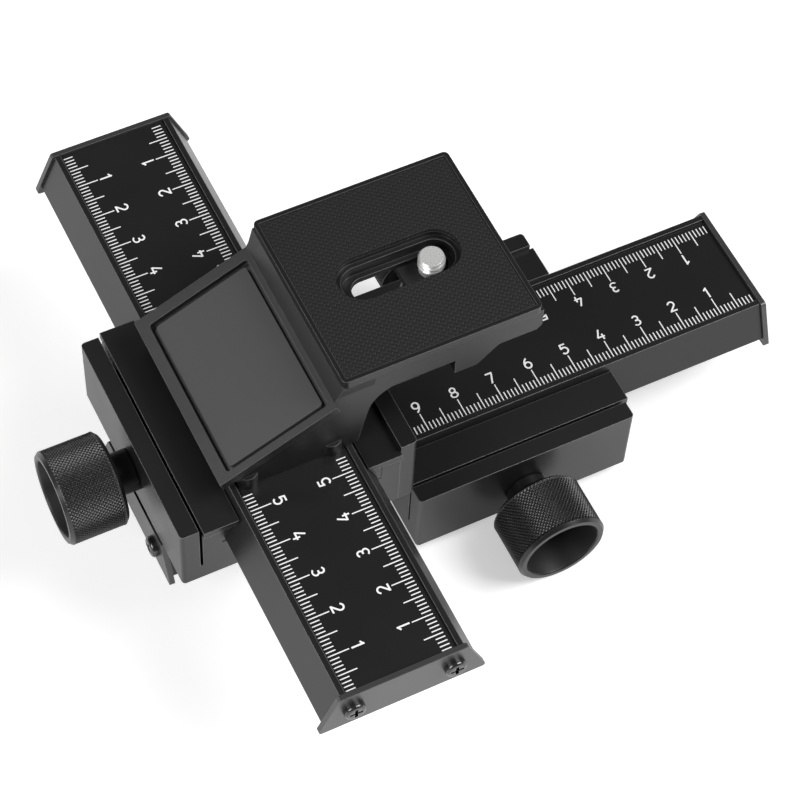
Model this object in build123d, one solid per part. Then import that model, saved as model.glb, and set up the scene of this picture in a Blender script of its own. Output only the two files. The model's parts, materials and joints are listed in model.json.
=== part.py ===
from build123d import *
import math
import os

# Macro focusing rail: two crossed rack-driven slides with a camera platform on the upper rail.
# Frame: +Z up, origin at the centre of the lower carriage's underside, +X along the lower rail,
# +Y along the upper rail. Millimetres.
# Each slide is drawn in its own frame first: X along the slide, -Y the drive knob's side,
# +Y the lock knob's side, Z = 0 on the carriage's underside. The upper slide is the same
# assembly turned by a quarter turn and set on top of the lower rail.

# ---- rail section, and the scale laid in its top ----
rail_length = 158.8
rail_top_half = 14.8
rail_base_half = 18.9
rail_height = 9.6
scale_recess = 0.6
scale_thickness = 0.5
scale_half = 13.3
scale_gap = 0.1

# ---- carriage ----
carriage_height = 20.3
rim_proud = 1.6
carriage_half_length = 28.6
flange_overhang = 1.0
flange_thickness = 2.0
wall_corner_radius = 1.0
cheek_thickness = 4.6
knob_wall_thickness = 4.5
lock_wall_thickness = 4.2
slit_width = 0.7
slit_floor_z = 5.2
channel_floor_gap = 0.3
lip_thickness = 1.6
lip_gap = 0.4
guide_thickness = 0.95
guide_gap = 0.05
guide_end_inset = 0.1

# ---- rack and pinion ----
gear_module = 0.8
pinion_teeth = 14
pressure_angle = 20.0
pinion_root_depth = 1.0
pinion_width = 7.0
rack_line_depth = 1.15
rack_addendum = 0.6
rack_root_depth = 1.0
rack_back = 1.85
rack_width = 8.2
rack_side_gap = 0.1
mesh_gap = 0.05
tooth_backlash = 0.12

# ---- drive shaft, bushes and knob ----
shaft_radius = 3.0
shaft_play = 0.04
bush_wall = 0.86
bush_length = 8.0
bore_relief = 0.5
pocket_side_gap = 0.3
pocket_tip_gap = 0.4
shaft_end_gap = 0.3
knob_gap = 0.2
neck_radius = 5.1
neck_length = 4.7
knob_radius = 11.4
knob_length = 14.8
knob_back_dish = 0.2
knob_back_taper = 1.0
knob_rim_round = 0.7
cup_radius = 9.4
cup_taper = 1.0
cup_lip = 0.3
cup_depth = 9.2
cup_floor = 1.8
knob_screw_head_radius = 2.8
knob_screw_head_height = 1.8
knob_screw_radius = 1.5
knob_screw_bite = 7.0

# ---- lock screw and knob ----
lock_below_top = 5.0
lock_screw_radius = 2.5
lock_screw_play = 0.08
lock_tip_gap = 0.3
lock_neck_radius = 4.2
lock_neck_length = 3.0
lock_knob_radius = 8.0
lock_knob_length = 9.0
lock_knob_chamfer = 0.8
lock_knob_bore = 4.0
lock_dimple_radius = 5.5
lock_dimple_depth = 1.2

# ---- screws that hold the lock wall ----
wall_screw_x = 20.0
wall_screw_z = 8.0
wall_screw_radius = 1.5
wall_screw_bite = 6.5
wall_head_radius = 2.8
wall_head_height = 2.0
wall_socket_depth = 1.0

# ---- end caps of the rails ----
cap_thickness = 1.3
cap_top_half = 15.4
cap_base_half = 20.5
cap_proud = 0.3
cap_corner = 0.8
cap_drop = 2.15
cap_screw_y = 12.1
cap_screw_below_rim = 5.2
cap_screw_radius = 1.25
cap_screw_bite = 5.7
cap_hole_past_screw = 0.3
cap_head_radius = 2.6
cap_head_height = 1.7
cap_head_round = 0.8

# ---- cross recess of the pan heads ----
recess_width = 0.8
recess_length = 3.2
recess_depth = 0.9

# ---- tripod threads in the lower carriage's underside ----
small_thread_radius = 3.175
large_thread_radius = 4.7625
thread_depth = 9.0
thread_x = 17.0

# ---- where the two slides stand, and what joins them ----
lower_rail_offset = -7.6
upper_from_end = 28.4
upper_rail_offset = 0.6
riser_thickness = 3.6
riser_half_length = 24.0
riser_side_gap = 0.3
riser_screw_x = 16.0
riser_screw_y = 9.5
deep_screw_radius = 2.0
deep_screw_bite = 6.0
deep_head_radius = 3.5
deep_head_height = 3.2
deep_head_inset = 0.4

# ---- head bracket: x from the upper rail's middle, heights above the upper scale's face ----
head_half_width = 23.4
foot_left = -11.8
foot_wall_height = 3.0
foot_right = 13.2
foot_undercut = 0.7
boss_radius = 2.4
boss_x = 10.3
boss_proud = 1.0
boss_height = 4.0
head_screw_x = 9.0
head_screw_y = 12.0
panel_low_x = -17.9
panel_low_z = 6.5
panel_length = 31.2
panel_slope = 25.35
panel_edge = 1.5
panel_frame = 2.8
panel_groove = 1.1
panel_recess = 1.6
panel_front_lip = 1.1
panel_rim_thickness = 2.2
panel_corner = 0.8
panel_high_trim = 1.5
panel_front_trim = 0.9
panel_plate_thickness = 1.1
flare_inset = 0.3
arm_foot_x = 16.4
arm_elbow_x = 20.0
arm_elbow_radius = 8.0

# ---- camera platform on the bracket ----
platform_left = 12.1
platform_length = 49.0
platform_side_lip = 0.6
platform_corner = 1.3
platform_top = 27.5
platform_edge_height = 2.4
platform_under = 20.5
web_height = 18.2
web_thickness = 4.0
web_corner = 1.3
lobe_left = 40.1
lobe_length = 5.5
lobe_ramp = 5.4
lobe_low_z = 13.3
pad_inset = 1.1
pad_thickness = 1.0
pad_below_rim = 0.2
slot_shift = 0.5
slot_length = 30.0
slot_half = 5.9
ledge_inset = 1.2
ledge_depth = 2.5
seat_inset = 1.35
seat_depth = 3.0
seat_start = 1.2

# ---- captive camera screw and the slider that carries it ----
screw_from_end = 0.7
screw_radius = 3.175
screw_top = 25.4
screw_chamfer = 0.4
screw_neck_radius = 2.4
screw_shank_radius = 2.9
thread_above_seat = 0.1
screw_neck_play = 0.1
screw_lift = 6.2
slider_thickness = 2.0
slider_half = 7.0
slider_gap = 0.1
keeper_width = 2.0
keeper_lip = 1.6
keeper_thickness = 0.8
washer_radius = 5.0
washer_thickness = 1.0
disk_radius = 7.0
disk_height = 4.5
disk_chamfer = 0.6
coin_slot_half = 0.8
coin_slot_depth = 1.2

# ---- worked out from the above: heights in a slide's frame ----
rim_z = carriage_height + rim_proud
rail_under_z = rim_z - rail_height
scale_z = rim_z - scale_recess
scale_under_z = scale_z - scale_thickness
channel_floor_z = rail_under_z - channel_floor_gap
lip_under_z = carriage_height - lip_thickness
pitch_radius = gear_module * pinion_teeth / 2
pinion_tip_radius = pitch_radius + gear_module
tooth_pitch = math.pi * gear_module
rack_line_z = rail_under_z + rack_line_depth
rack_roof_z = rack_line_z + rack_root_depth + rack_back
shaft_z = rack_line_z - mesh_gap - pitch_radius
lock_z = carriage_height - lock_below_top
cap_screw_z = rim_z - cap_screw_below_rim
cap_hole_depth = cap_screw_bite + cap_hole_past_screw

# ---- worked out: widths in a slide's frame ----
flank_slope = (rail_base_half - rail_top_half) / rail_height
channel_half = rail_base_half + guide_gap + guide_thickness
body_half = channel_half + cheek_thickness
knob_side_half = body_half + slit_width + knob_wall_thickness
lock_side_half = body_half + lock_wall_thickness
flange_half_length = carriage_half_length + flange_overhang
pocket_half = pinion_width / 2 + pocket_side_gap
bush_radius = shaft_radius + shaft_play + bush_wall
bush_starts = (-knob_side_half, pocket_half)
knob_end = neck_length + knob_length
cup_z = knob_end - cup_depth
lock_hole_radius = lock_screw_radius + lock_screw_play
wall_head_seat = lock_side_half - wall_head_height

# ---- worked out: the upper slide, the head and the platform ----
upper_x = lower_rail_offset - rail_length / 2 + upper_from_end
upper_z = scale_z + riser_thickness
head_z = upper_z + scale_z
deep_head_seat = rail_under_z + deep_head_height + deep_head_inset
platform_right = platform_left + platform_length
platform_half_width = head_half_width + platform_side_lip
platform_middle = platform_left + platform_length / 2
slot_left = platform_middle + slot_shift - slot_length / 2
slot_right = slot_left + slot_length
screw_x = slot_right - slot_half - screw_from_end
platform_edge_z = platform_top - platform_edge_height
web_right = platform_right + platform_side_lip
hollow_right = web_right - web_thickness
hollow_half = head_half_width - web_thickness
slope = math.radians(panel_slope)
panel_high_x = panel_low_x + panel_length * math.cos(slope)
panel_high_z = panel_low_z + panel_length * math.sin(slope)
pad_top = platform_top - pad_below_rim
ledge_z = platform_top - ledge_depth
seat_z = ledge_z - seat_depth
thread_low_z = seat_z + thread_above_seat
slider_top_z = platform_under - slider_gap
slider_low_z = slider_top_z - slider_thickness
keeper_top_z = slider_low_z - slider_gap
washer_top_z = slider_low_z - screw_lift - slider_gap
disk_top_z = washer_top_z - washer_thickness - slider_gap


def rail_half(z):
    """Half width of the rail at height z of a slide's frame."""
    return rail_top_half + (rim_z - z) * flank_slope


def prism_x(points, x0, x1):
    """Solid with a (y, z) outline, from x0 to x1."""
    outline = make_face(Polyline(*points, close=True))
    return extrude(Plane.YZ.offset(x0) * outline, x1 - x0)


def prism_y(outline, y0, y1):
    """Solid from an (x, z) face, from y0 to y1."""
    return extrude(Plane.XZ.offset(-y1) * outline, y1 - y0)


def block(x0, x1, y0, y1, z0, z1):
    """Box between two corners."""
    centre = Pos((x0 + x1) / 2, (y0 + y1) / 2, (z0 + z1) / 2)
    return centre * Box(x1 - x0, y1 - y0, z1 - z0)


def rod(start, direction, radius, length):
    """Cylinder from a start point along a direction."""
    seat = (Align.CENTER, Align.CENTER, Align.MIN)
    return Plane(origin=start, z_dir=direction) * Cylinder(radius, length, align=seat)


def ring(start, direction, outer, inner, length):
    """Plain tube from a start point along a direction."""
    return rod(start, direction, outer, length) - rod(start, direction, inner, length)


def turned(profile, start, direction):
    """Body of revolution from (radius, height) points, its axis along a direction."""
    outline = make_face(Polyline(*profile, close=True))
    body = revolve(Plane.XZ * outline, Axis.Z)
    return Plane(origin=start, z_dir=direction) * body


def slot_prism(x0, x1, half, z0, z1):
    """Round-ended bar along X, centred on y = 0."""
    outline = SlotOverall(x1 - x0, 2 * half)
    return Pos((x0 + x1) / 2, 0, z0) * extrude(outline, z1 - z0)


def mirrored_pairs(x, y):
    """The four corners of a rectangle about the origin."""
    return [(sx * x, sy * y) for sx in (-1, 1) for sy in (-1, 1)]


def cross_head_screw(start, direction, shank, radius, head_radius, head_height, head_round):
    """Screw with a rounded head and a cross recess; start is the point under its head."""
    screw = rod((0, 0, 0), (0, 0, -1), radius, shank)
    head = rod((0, 0, 0), (0, 0, 1), head_radius, head_height)
    head = fillet(head.edges().sort_by(Axis.Z)[-1], head_round)
    cut_z = head_height - recess_depth
    half_width = recess_width / 2
    half_length = recess_length / 2
    head -= block(-half_length, half_length, -half_width, half_width, cut_z, head_height)
    head -= block(-half_width, half_width, -half_length, half_length, cut_z, head_height)
    return Plane(origin=start, z_dir=direction) * (screw + head)


# ---------------------------------------------------------------- rail and what it carries
def rail_ends(offset):
    return offset - rail_length / 2, offset + rail_length / 2


def make_rail(offset):
    x0, x1 = rail_ends(offset)
    section = [(-rail_base_half, rail_under_z), (rail_base_half, rail_under_z)]
    section += [(rail_top_half, rim_z), (-rail_top_half, rim_z)]
    body = prism_x(section, x0, x1)
    recess_half = scale_half + scale_gap
    body -= block(x0, x1, -recess_half, recess_half, scale_under_z, rim_z)
    groove_half = rack_width / 2 + rack_side_gap
    body -= block(x0, x1, -groove_half, groove_half, rail_under_z, rack_roof_z)
    for y in (-cap_screw_y, cap_screw_y):
        body -= rod((x0, y, cap_screw_z), (1, 0, 0), cap_screw_radius, cap_hole_depth)
        body -= rod((x1, y, cap_screw_z), (-1, 0, 0), cap_screw_radius, cap_hole_depth)
    return body


def make_scale(offset):
    x0, x1 = rail_ends(offset)
    return block(x0 + scale_gap, x1 - scale_gap, -scale_half, scale_half, scale_under_z, scale_z)


def make_rack(offset):
    """Toothed bar: a tooth gap of the rack stands over x = 0, where the pinion's top tooth is."""
    x0, x1 = rail_ends(offset)
    lean = math.tan(math.radians(pressure_angle))
    quarter = (tooth_pitch - tooth_backlash) / 4
    tip_half = quarter - rack_addendum * lean
    root_half = quarter + rack_root_depth * lean
    tip_z = rack_line_z - rack_addendum
    root_z = rack_line_z + rack_root_depth
    points = [(x0, rack_roof_z), (x0, root_z)]
    first = math.ceil((x0 + root_half) / tooth_pitch - 0.5)
    last = math.floor((x1 - root_half) / tooth_pitch - 0.5)
    for number in range(first, last + 1):
        middle = (number + 0.5) * tooth_pitch
        points += [(middle - root_half, root_z), (middle - tip_half, tip_z)]
        points += [(middle + tip_half, tip_z), (middle + root_half, root_z)]
    points += [(x1, root_z), (x1, rack_roof_z)]
    return prism_y(make_face(Polyline(*points, close=True)), -rack_width / 2, rack_width / 2)


def make_cap(offset, side):
    x0, x1 = rail_ends(offset)
    start = x1 if side > 0 else x0 - cap_thickness
    top_z = rim_z + cap_proud
    base_z = rail_under_z - cap_drop
    section = [(-cap_base_half, base_z), (cap_base_half, base_z)]
    section += [(cap_top_half, top_z), (-cap_top_half, top_z)]
    plate = prism_x(section, start, start + cap_thickness)
    plate = fillet(plate.edges().filter_by(Axis.X), cap_corner)
    for y in (-cap_screw_y, cap_screw_y):
        plate -= rod((start, y, cap_screw_z), (1, 0, 0), cap_screw_radius, cap_thickness)
    return plate


def make_cap_screws(offset):
    x0, x1 = rail_ends(offset)
    shank = cap_thickness + cap_screw_bite
    head = (cap_screw_radius, cap_head_radius, cap_head_height, cap_head_round)
    screws = []
    for y in (-cap_screw_y, cap_screw_y):
        screws.append(cross_head_screw((x0 - cap_thickness, y, cap_screw_z), (-1, 0, 0), shank, *head))
        screws.append(cross_head_screw((x1 + cap_thickness, y, cap_screw_z), (1, 0, 0), shank, *head))
    return screws


# ---------------------------------------------------------------- carriage
def channel_outline():
    """The rail's way through the carriage: straight walls under two overhanging lips."""
    lip_low = rail_half(lip_under_z) + lip_gap
    lip_top = rail_half(carriage_height) + lip_gap
    right = [(channel_half, channel_floor_z), (channel_half, lip_under_z)]
    right += [(lip_low, lip_under_z), (lip_top, carriage_height)]
    left = [(-y, z) for y, z in reversed(right)]
    return right + left


def make_carriage():
    slit_outer = body_half + slit_width
    top = carriage_height
    body = block(-carriage_half_length, carriage_half_length, -body_half, body_half, 0, top)
    flange_low_z = top - flange_thickness
    body += block(-flange_half_length, flange_half_length, -body_half, body_half, flange_low_z, top)
    body -= prism_x(channel_outline(), -flange_half_length, flange_half_length)
    wall = block(-carriage_half_length, carriage_half_length, -knob_side_half, -slit_outer, 0, top)
    corners = wall.edges().filter_by(Axis.Z).sort_by(Axis.Y)[:2]
    body += fillet(corners, wall_corner_radius)
    body += block(-carriage_half_length, carriage_half_length, -slit_outer, -body_half, 0, slit_floor_z)
    pocket = pinion_tip_radius + pocket_tip_gap
    body -= rod((0, -pocket_half, shaft_z), (0, 1, 0), pocket, 2 * pocket_half)
    body -= block(-pocket, pocket, -pocket_half, pocket_half, shaft_z, channel_floor_z)
    bore_length = knob_side_half + pocket_half + bush_length
    body -= rod((0, -knob_side_half, shaft_z), (0, 1, 0), shaft_radius + bore_relief, bore_length)
    for start in bush_starts:
        body -= rod((0, start, shaft_z), (0, 1, 0), bush_radius, bush_length)
    body -= rod((0, channel_half, lock_z), (0, 1, 0), lock_hole_radius, cheek_thickness)
    for x in (-wall_screw_x, wall_screw_x):
        body -= rod((x, body_half, wall_screw_z), (0, -1, 0), wall_screw_radius, wall_screw_bite)
    return body


def make_bushes():
    inner = shaft_radius + shaft_play
    return [ring((0, y, shaft_z), (0, 1, 0), bush_radius, inner, bush_length) for y in bush_starts]


def make_lock_wall():
    wall = block(-carriage_half_length, carriage_half_length, body_half, lock_side_half, 0, rim_z)
    corners = wall.edges().filter_by(Axis.Z).sort_by(Axis.Y)[-2:]
    wall = fillet(corners, wall_corner_radius)
    wall -= rod((0, body_half, lock_z), (0, 1, 0), lock_hole_radius, lock_wall_thickness)
    for x in (-wall_screw_x, wall_screw_x):
        wall -= rod((x, body_half, wall_screw_z), (0, 1, 0), wall_screw_radius, lock_wall_thickness)
        wall -= rod((x, wall_head_seat, wall_screw_z), (0, 1, 0), wall_head_radius, wall_head_height)
    return wall


def make_wall_screws():
    shank = wall_head_seat - body_half + wall_screw_bite
    screws = []
    for x in (-wall_screw_x, wall_screw_x):
        screw = rod((x, wall_head_seat, wall_screw_z), (0, -1, 0), wall_screw_radius, shank)
        screw += rod((x, wall_head_seat, wall_screw_z), (0, 1, 0), wall_head_radius, wall_head_height)
        socket = extrude(RegularPolygon(wall_screw_radius, 6), -wall_socket_depth)
        screws.append(screw - Plane(origin=(x, lock_side_half, wall_screw_z), z_dir=(0, 1, 0)) * socket)
    return screws


def make_guide(side):
    """Wedge strip between the channel's wall and the rail's sloping flank."""
    low_z = channel_floor_z
    section = [(side * channel_half, low_z), (side * (rail_half(low_z) + guide_gap), low_z)]
    section += [(side * (rail_half(lip_under_z) + guide_gap), lip_under_z)]
    section += [(side * channel_half, lip_under_z)]
    reach = carriage_half_length - guide_end_inset
    return prism_x(section, -reach, reach)


# ---------------------------------------------------------------- drive and lock
def involute_angle(radius, base):
    """Polar angle of an involute of a base circle, where it reaches a radius."""
    roll = math.sqrt(max(radius * radius / base / base - 1.0, 0.0))
    return roll - math.atan(roll)


def make_pinion():
    """Spur pinion with a tooth standing straight up, in the rack's gap over x = 0."""
    base = pitch_radius * math.cos(math.radians(pressure_angle))
    half_tooth = (tooth_pitch - tooth_backlash) / 4 / pitch_radius
    half_at_base = half_tooth + involute_angle(pitch_radius, base)
    flank_steps = 5
    flank = [(pitch_radius - pinion_root_depth, half_at_base)]
    for step in range(flank_steps + 1):
        radius = base + (pinion_tip_radius - base) * step / flank_steps
        flank.append((radius, half_at_base - involute_angle(radius, base)))
    points = []
    for tooth in range(pinion_teeth):
        centre = math.pi / 2 - 2 * math.pi * tooth / pinion_teeth
        sides = [(radius, centre + angle) for radius, angle in flank]
        sides += [(radius, centre - angle) for radius, angle in reversed(flank)]
        points += [(radius * math.cos(turn), shaft_z + radius * math.sin(turn)) for radius, turn in sides]
    outline = make_face(Polyline(*points, close=True))
    gear = prism_y(outline, -pinion_width / 2, pinion_width / 2)
    return gear - rod((0, -pinion_width / 2, shaft_z), (0, 1, 0), shaft_radius, pinion_width)


def make_drive_knob():
    back_z = neck_length + knob_back_dish
    profile = [(0, knob_gap), (neck_radius, knob_gap), (neck_radius, neck_length)]
    profile += [(knob_radius - knob_back_taper, back_z), (knob_radius, back_z + knob_back_taper)]
    profile += [(knob_radius, knob_end - knob_rim_round), (knob_radius - knob_rim_round, knob_end)]
    profile += [(cup_radius + cup_lip, knob_end), (cup_radius, knob_end - cup_lip)]
    profile += [(cup_radius - cup_taper, cup_z), (0, cup_z)]
    seat = (0, -knob_side_half, shaft_z)
    knob = turned(profile, seat, (0, -1, 0))
    knob -= rod(seat, (0, -1, 0), shaft_radius, cup_z - cup_floor)
    return knob - rod(seat, (0, -1, 0), knob_screw_radius, cup_z)


def make_shaft():
    outer = knob_side_half + cup_z - cup_floor
    inner = pocket_half + bush_length - shaft_end_gap
    shaft = rod((0, -outer, shaft_z), (0, 1, 0), shaft_radius, outer + inner)
    return shaft - rod((0, -outer, shaft_z), (0, 1, 0), knob_screw_radius, knob_screw_bite)


def make_knob_screw():
    head = (knob_screw_radius, knob_screw_head_radius, knob_screw_head_height, cap_head_round)
    seat = (0, -knob_side_half - cup_z, shaft_z)
    return cross_head_screw(seat, (0, -1, 0), cup_floor + knob_screw_bite, *head)


def make_lock_knob():
    neck = lock_neck_length
    end = neck + lock_knob_length
    chamfered = lock_knob_radius - lock_knob_chamfer
    profile = [(0, knob_gap), (lock_neck_radius, knob_gap), (lock_neck_radius, neck)]
    profile += [(chamfered, neck), (lock_knob_radius, neck + lock_knob_chamfer)]
    profile += [(lock_knob_radius, end - lock_knob_chamfer), (chamfered, end)]
    profile += [(lock_dimple_radius, end), (lock_dimple_radius, end - lock_dimple_depth)]
    profile += [(0, end - lock_dimple_depth)]
    knob = turned(profile, (0, lock_side_half, lock_z), (0, 1, 0))
    bore = neck + lock_knob_bore
    return knob - rod((0, lock_side_half, lock_z), (0, 1, 0), lock_screw_radius, bore)


def make_lock_screw():
    tip = channel_half + lock_tip_gap
    end = lock_side_half + lock_neck_length + lock_knob_bore
    return rod((0, tip, lock_z), (0, 1, 0), lock_screw_radius, end - tip)


# ---------------------------------------------------------------- head bracket and platform
def head_outline():
    """Side outline of the bracket: foot, slanted panel, platform and the arm between them."""
    edge_x = panel_edge * math.sin(slope)
    edge_z = -panel_edge * math.cos(slope)
    lobe_right = lobe_left + lobe_length
    corners = [(foot_left, 0, 0), (foot_left, foot_wall_height, 0)]
    corners += [(panel_low_x + edge_x, panel_low_z + edge_z, 0), (panel_low_x, panel_low_z, 0)]
    corners += [(panel_high_x, panel_high_z, 0), (platform_left, platform_edge_z, 0)]
    corners += [(web_right, platform_edge_z, 0)]
    corners += [(web_right, web_height + web_corner, 0), (web_right - web_corner, web_height, 0)]
    corners += [(lobe_right + lobe_ramp, web_height, 0), (lobe_right, lobe_low_z, 0)]
    corners += [(lobe_left, lobe_low_z, 0), (lobe_left, web_height, 0)]
    corners += [(arm_elbow_x, web_height, arm_elbow_radius), (arm_foot_x, foot_undercut, 0)]
    corners += [(foot_right, foot_undercut, 0), (foot_right, 0, 0)]
    points = [(x, z) for x, z, radius in corners]
    radii = [radius for x, z, radius in corners]
    return make_face(FilletPolyline(*points, radius=radii, close=True))


def panel_plane():
    """Plane on the slanted panel: x up the slope, y along the rail, z out of the face."""
    middle = ((panel_low_x + panel_high_x) / 2, 0, (panel_low_z + panel_high_z) / 2)
    along = (math.cos(slope), 0, math.sin(slope))
    return Plane(origin=middle, x_dir=along, z_dir=(-math.sin(slope), 0, math.cos(slope)))


def panel_block(margin, low, high):
    """Round-cornered block on the panel, inset by a margin, between two heights over its face.

    The margin is smaller on the panel's high side and on its front side.
    """
    length = panel_length - 2 * margin + panel_high_trim
    front_more = panel_front_lip + panel_front_trim
    span = 2 * head_half_width - 2 * margin + front_more
    outline = RectangleRounded(length, span, panel_corner)
    return panel_plane() * Pos(panel_high_trim / 2, -front_more / 2, low) * extrude(outline, high - low)


def panel_rim():
    """Flat rim round the panel, which stands a little proud of the bracket's front side."""
    half_length = panel_length / 2
    front = -head_half_width - panel_front_lip
    return panel_plane() * block(-half_length, half_length, front, head_half_width, -panel_rim_thickness, 0)


def platform_flare():
    """Block between the panel and the platform that widens up to the platform's width."""
    base = Plane.XY.offset(panel_high_z) * flare_section(panel_high_x, head_half_width - flare_inset)
    top = Plane.XY.offset(platform_edge_z) * flare_section(platform_left, platform_half_width)
    return loft([base, top], ruled=True)


def flare_section(left, half_width):
    """Level section of the flare, from its left side to the hollow under the platform."""
    width = arm_elbow_x - left
    return Pos(left + width / 2, 0) * Rectangle(width, 2 * half_width)


def slot_steps():
    """Camera slot from the top down: left, right, half width, floor and top of each step."""
    inset = ledge_inset + seat_inset
    opening = (slot_left, slot_right, slot_half, ledge_z, platform_top)
    ledge = (slot_left + ledge_inset, slot_right - ledge_inset, slot_half - ledge_inset, seat_z, ledge_z)
    through_left = slot_left + inset + seat_start
    through = (through_left, slot_right - inset, slot_half - inset, platform_under, seat_z)
    return [opening, ledge, through]


def pad_block(low, high):
    """Block that fills the pad's seat in the platform."""
    half = platform_half_width - pad_inset
    return block(platform_left + pad_inset, platform_right - pad_inset, -half, half, low, high)


def make_keeper(side):
    """L-shaped runner under the platform that holds one edge of the screw's slider."""
    wall_y = slider_half + slider_gap
    keeper_low_z = keeper_top_z - keeper_thickness
    section = [(wall_y + keeper_width, platform_under), (wall_y, platform_under), (wall_y, keeper_top_z)]
    section += [(slider_half - keeper_lip, keeper_top_z), (slider_half - keeper_lip, keeper_low_z)]
    section += [(wall_y + keeper_width, keeper_low_z)]
    return prism_x([(side * y, z) for y, z in section], arm_elbow_x, hollow_right)


def make_head():
    body = prism_y(head_outline(), -head_half_width, head_half_width) + panel_rim() + platform_flare()
    outline = RectangleRounded(platform_length, 2 * platform_half_width, platform_corner)
    body += Pos(platform_middle, 0, platform_edge_z) * extrude(outline, platform_edge_height)
    body -= block(arm_elbow_x, hollow_right, -hollow_half, hollow_half, 0, platform_under)
    for side in (-1, 1):
        body += make_keeper(side)
    body -= pad_block(pad_top - pad_thickness, platform_top)
    for left, right, half, floor, top in slot_steps():
        body -= slot_prism(left, right, half, floor, top)
    body -= panel_block(panel_frame, -panel_recess, 0)
    boss_y = head_half_width - boss_radius + boss_proud
    for x, y in mirrored_pairs(boss_x, boss_y):
        body += rod((x, y, 0), (0, 0, 1), boss_radius, boss_height)
    for x, y in mirrored_pairs(head_screw_x, head_screw_y):
        body -= rod((x, y, 0), (0, 0, 1), deep_screw_radius, deep_screw_bite)
    return body


def make_panel_plate():
    margin = panel_frame + panel_groove
    return panel_block(margin, -panel_recess, panel_plate_thickness - panel_recess)


def make_pad():
    pad = pad_block(pad_top - pad_thickness, pad_top)
    return pad - slot_prism(slot_left, slot_right, slot_half, pad_top - pad_thickness, pad_top)


# ---------------------------------------------------------------- captive camera screw
def make_slider():
    left = screw_x - slider_half
    right = screw_x + slider_half
    plate = block(left, right, -slider_half, slider_half, slider_low_z, slider_top_z)
    hole = screw_neck_radius + screw_neck_play
    return plate - rod((screw_x, 0, slider_low_z), (0, 0, 1), hole, slider_thickness)


def make_camera_screw():
    """Threaded end over a plain shank that rests on the slider, and a thin neck down to the disk."""
    stud = rod((screw_x, 0, thread_low_z), (0, 0, 1), screw_radius, screw_top - thread_low_z)
    stud = chamfer(stud.edges().sort_by(Axis.Z)[-1], screw_chamfer)
    shank_low_z = slider_top_z + slider_gap
    stud += rod((screw_x, 0, shank_low_z), (0, 0, 1), screw_shank_radius, thread_low_z - shank_low_z)
    neck_low_z = disk_top_z - disk_height + coin_slot_depth
    return stud + rod((screw_x, 0, neck_low_z), (0, 0, 1), screw_neck_radius, shank_low_z - neck_low_z)


def make_thumb_disk():
    low_z = disk_top_z - disk_height
    disk = rod((screw_x, 0, low_z), (0, 0, 1), disk_radius, disk_height)
    disk = chamfer(disk.edges().filter_by(GeomType.CIRCLE), disk_chamfer)
    left = screw_x - disk_radius
    right = screw_x + disk_radius
    cut_z = low_z + coin_slot_depth
    disk -= block(left, right, -coin_slot_half, coin_slot_half, low_z, cut_z)
    return disk - rod((screw_x, 0, cut_z), (0, 0, 1), screw_neck_radius, disk_top_z - cut_z)


def make_washer():
    inner = screw_neck_radius + screw_neck_play
    low_z = washer_top_z - washer_thickness
    return ring((screw_x, 0, low_z), (0, 0, 1), washer_radius, inner, washer_thickness)


# ---------------------------------------------------------------- assembly
lower_place = Location((0, 0, 0))
upper_place = Location((upper_x, 0, upper_z), (0, 0, -90))
head_place = Location((upper_x, upper_rail_offset, head_z))
parts = {}


def keep(name, shape, place):
    """Store one node; a list of solids becomes one group."""
    if isinstance(shape, list):
        shape = Compound(children=[Part(piece.wrapped) for piece in shape])
    parts[name] = shape.moved(place)


def build_slide(prefix, offset, place, end_names):
    keep(prefix + "_rail", make_rail(offset), place)
    keep(prefix + "_rack", make_rack(offset), place)
    keep(prefix + "_scale", make_scale(offset), place)
    for end_name, side in zip(end_names, (-1, 1)):
        keep(prefix + "_end_cap_" + end_name, make_cap(offset, side), place)
    keep(prefix + "_cap_screws", make_cap_screws(offset), place)
    keep(prefix + "_carriage", make_carriage(), place)
    keep(prefix + "_lock_wall", make_lock_wall(), place)
    keep(prefix + "_wall_screws", make_wall_screws(), place)
    keep(prefix + "_guide_knob_side", make_guide(-1), place)
    keep(prefix + "_guide_lock_side", make_guide(1), place)
    keep(prefix + "_shaft_bushes", make_bushes(), place)
    keep(prefix + "_drive_shaft", make_shaft(), place)
    keep(prefix + "_pinion", make_pinion(), place)
    keep(prefix + "_drive_knob", make_drive_knob(), place)
    keep(prefix + "_knob_screw", make_knob_screw(), place)
    keep(prefix + "_lock_knob", make_lock_knob(), place)
    keep(prefix + "_lock_screw", make_lock_screw(), place)


def cut_thread(x, radius):
    parts["lower_carriage"] -= rod((x, 0, 0), (0, 0, 1), radius, thread_depth)


def fasten_up_through(slide, base_z, spots, top_z, others, screws_name):
    """Long screws from counterbores in a rail's underside, up into what stands on the rail."""
    low_z = base_z + rail_under_z
    seat_z = base_z + deep_head_seat
    screws = []
    for x, y in spots:
        hole = rod((x, y, low_z), (0, 0, 1), deep_screw_radius, top_z - low_z)
        for name in [slide + "_rail", slide + "_scale"] + others:
            parts[name] -= hole
        parts[slide + "_rail"] -= rod((x, y, low_z), (0, 0, 1), deep_head_radius, seat_z - low_z)
        screw = rod((x, y, seat_z), (0, 0, 1), deep_screw_radius, top_z - seat_z)
        screws.append(screw + rod((x, y, seat_z), (0, 0, -1), deep_head_radius, deep_head_height))
    keep(screws_name, screws, lower_place)


build_slide("lower", lower_rail_offset, lower_place, ("left", "right"))
build_slide("upper", -upper_rail_offset, upper_place, ("back", "front"))
cut_thread(thread_x, small_thread_radius)
cut_thread(-thread_x, large_thread_radius)

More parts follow.
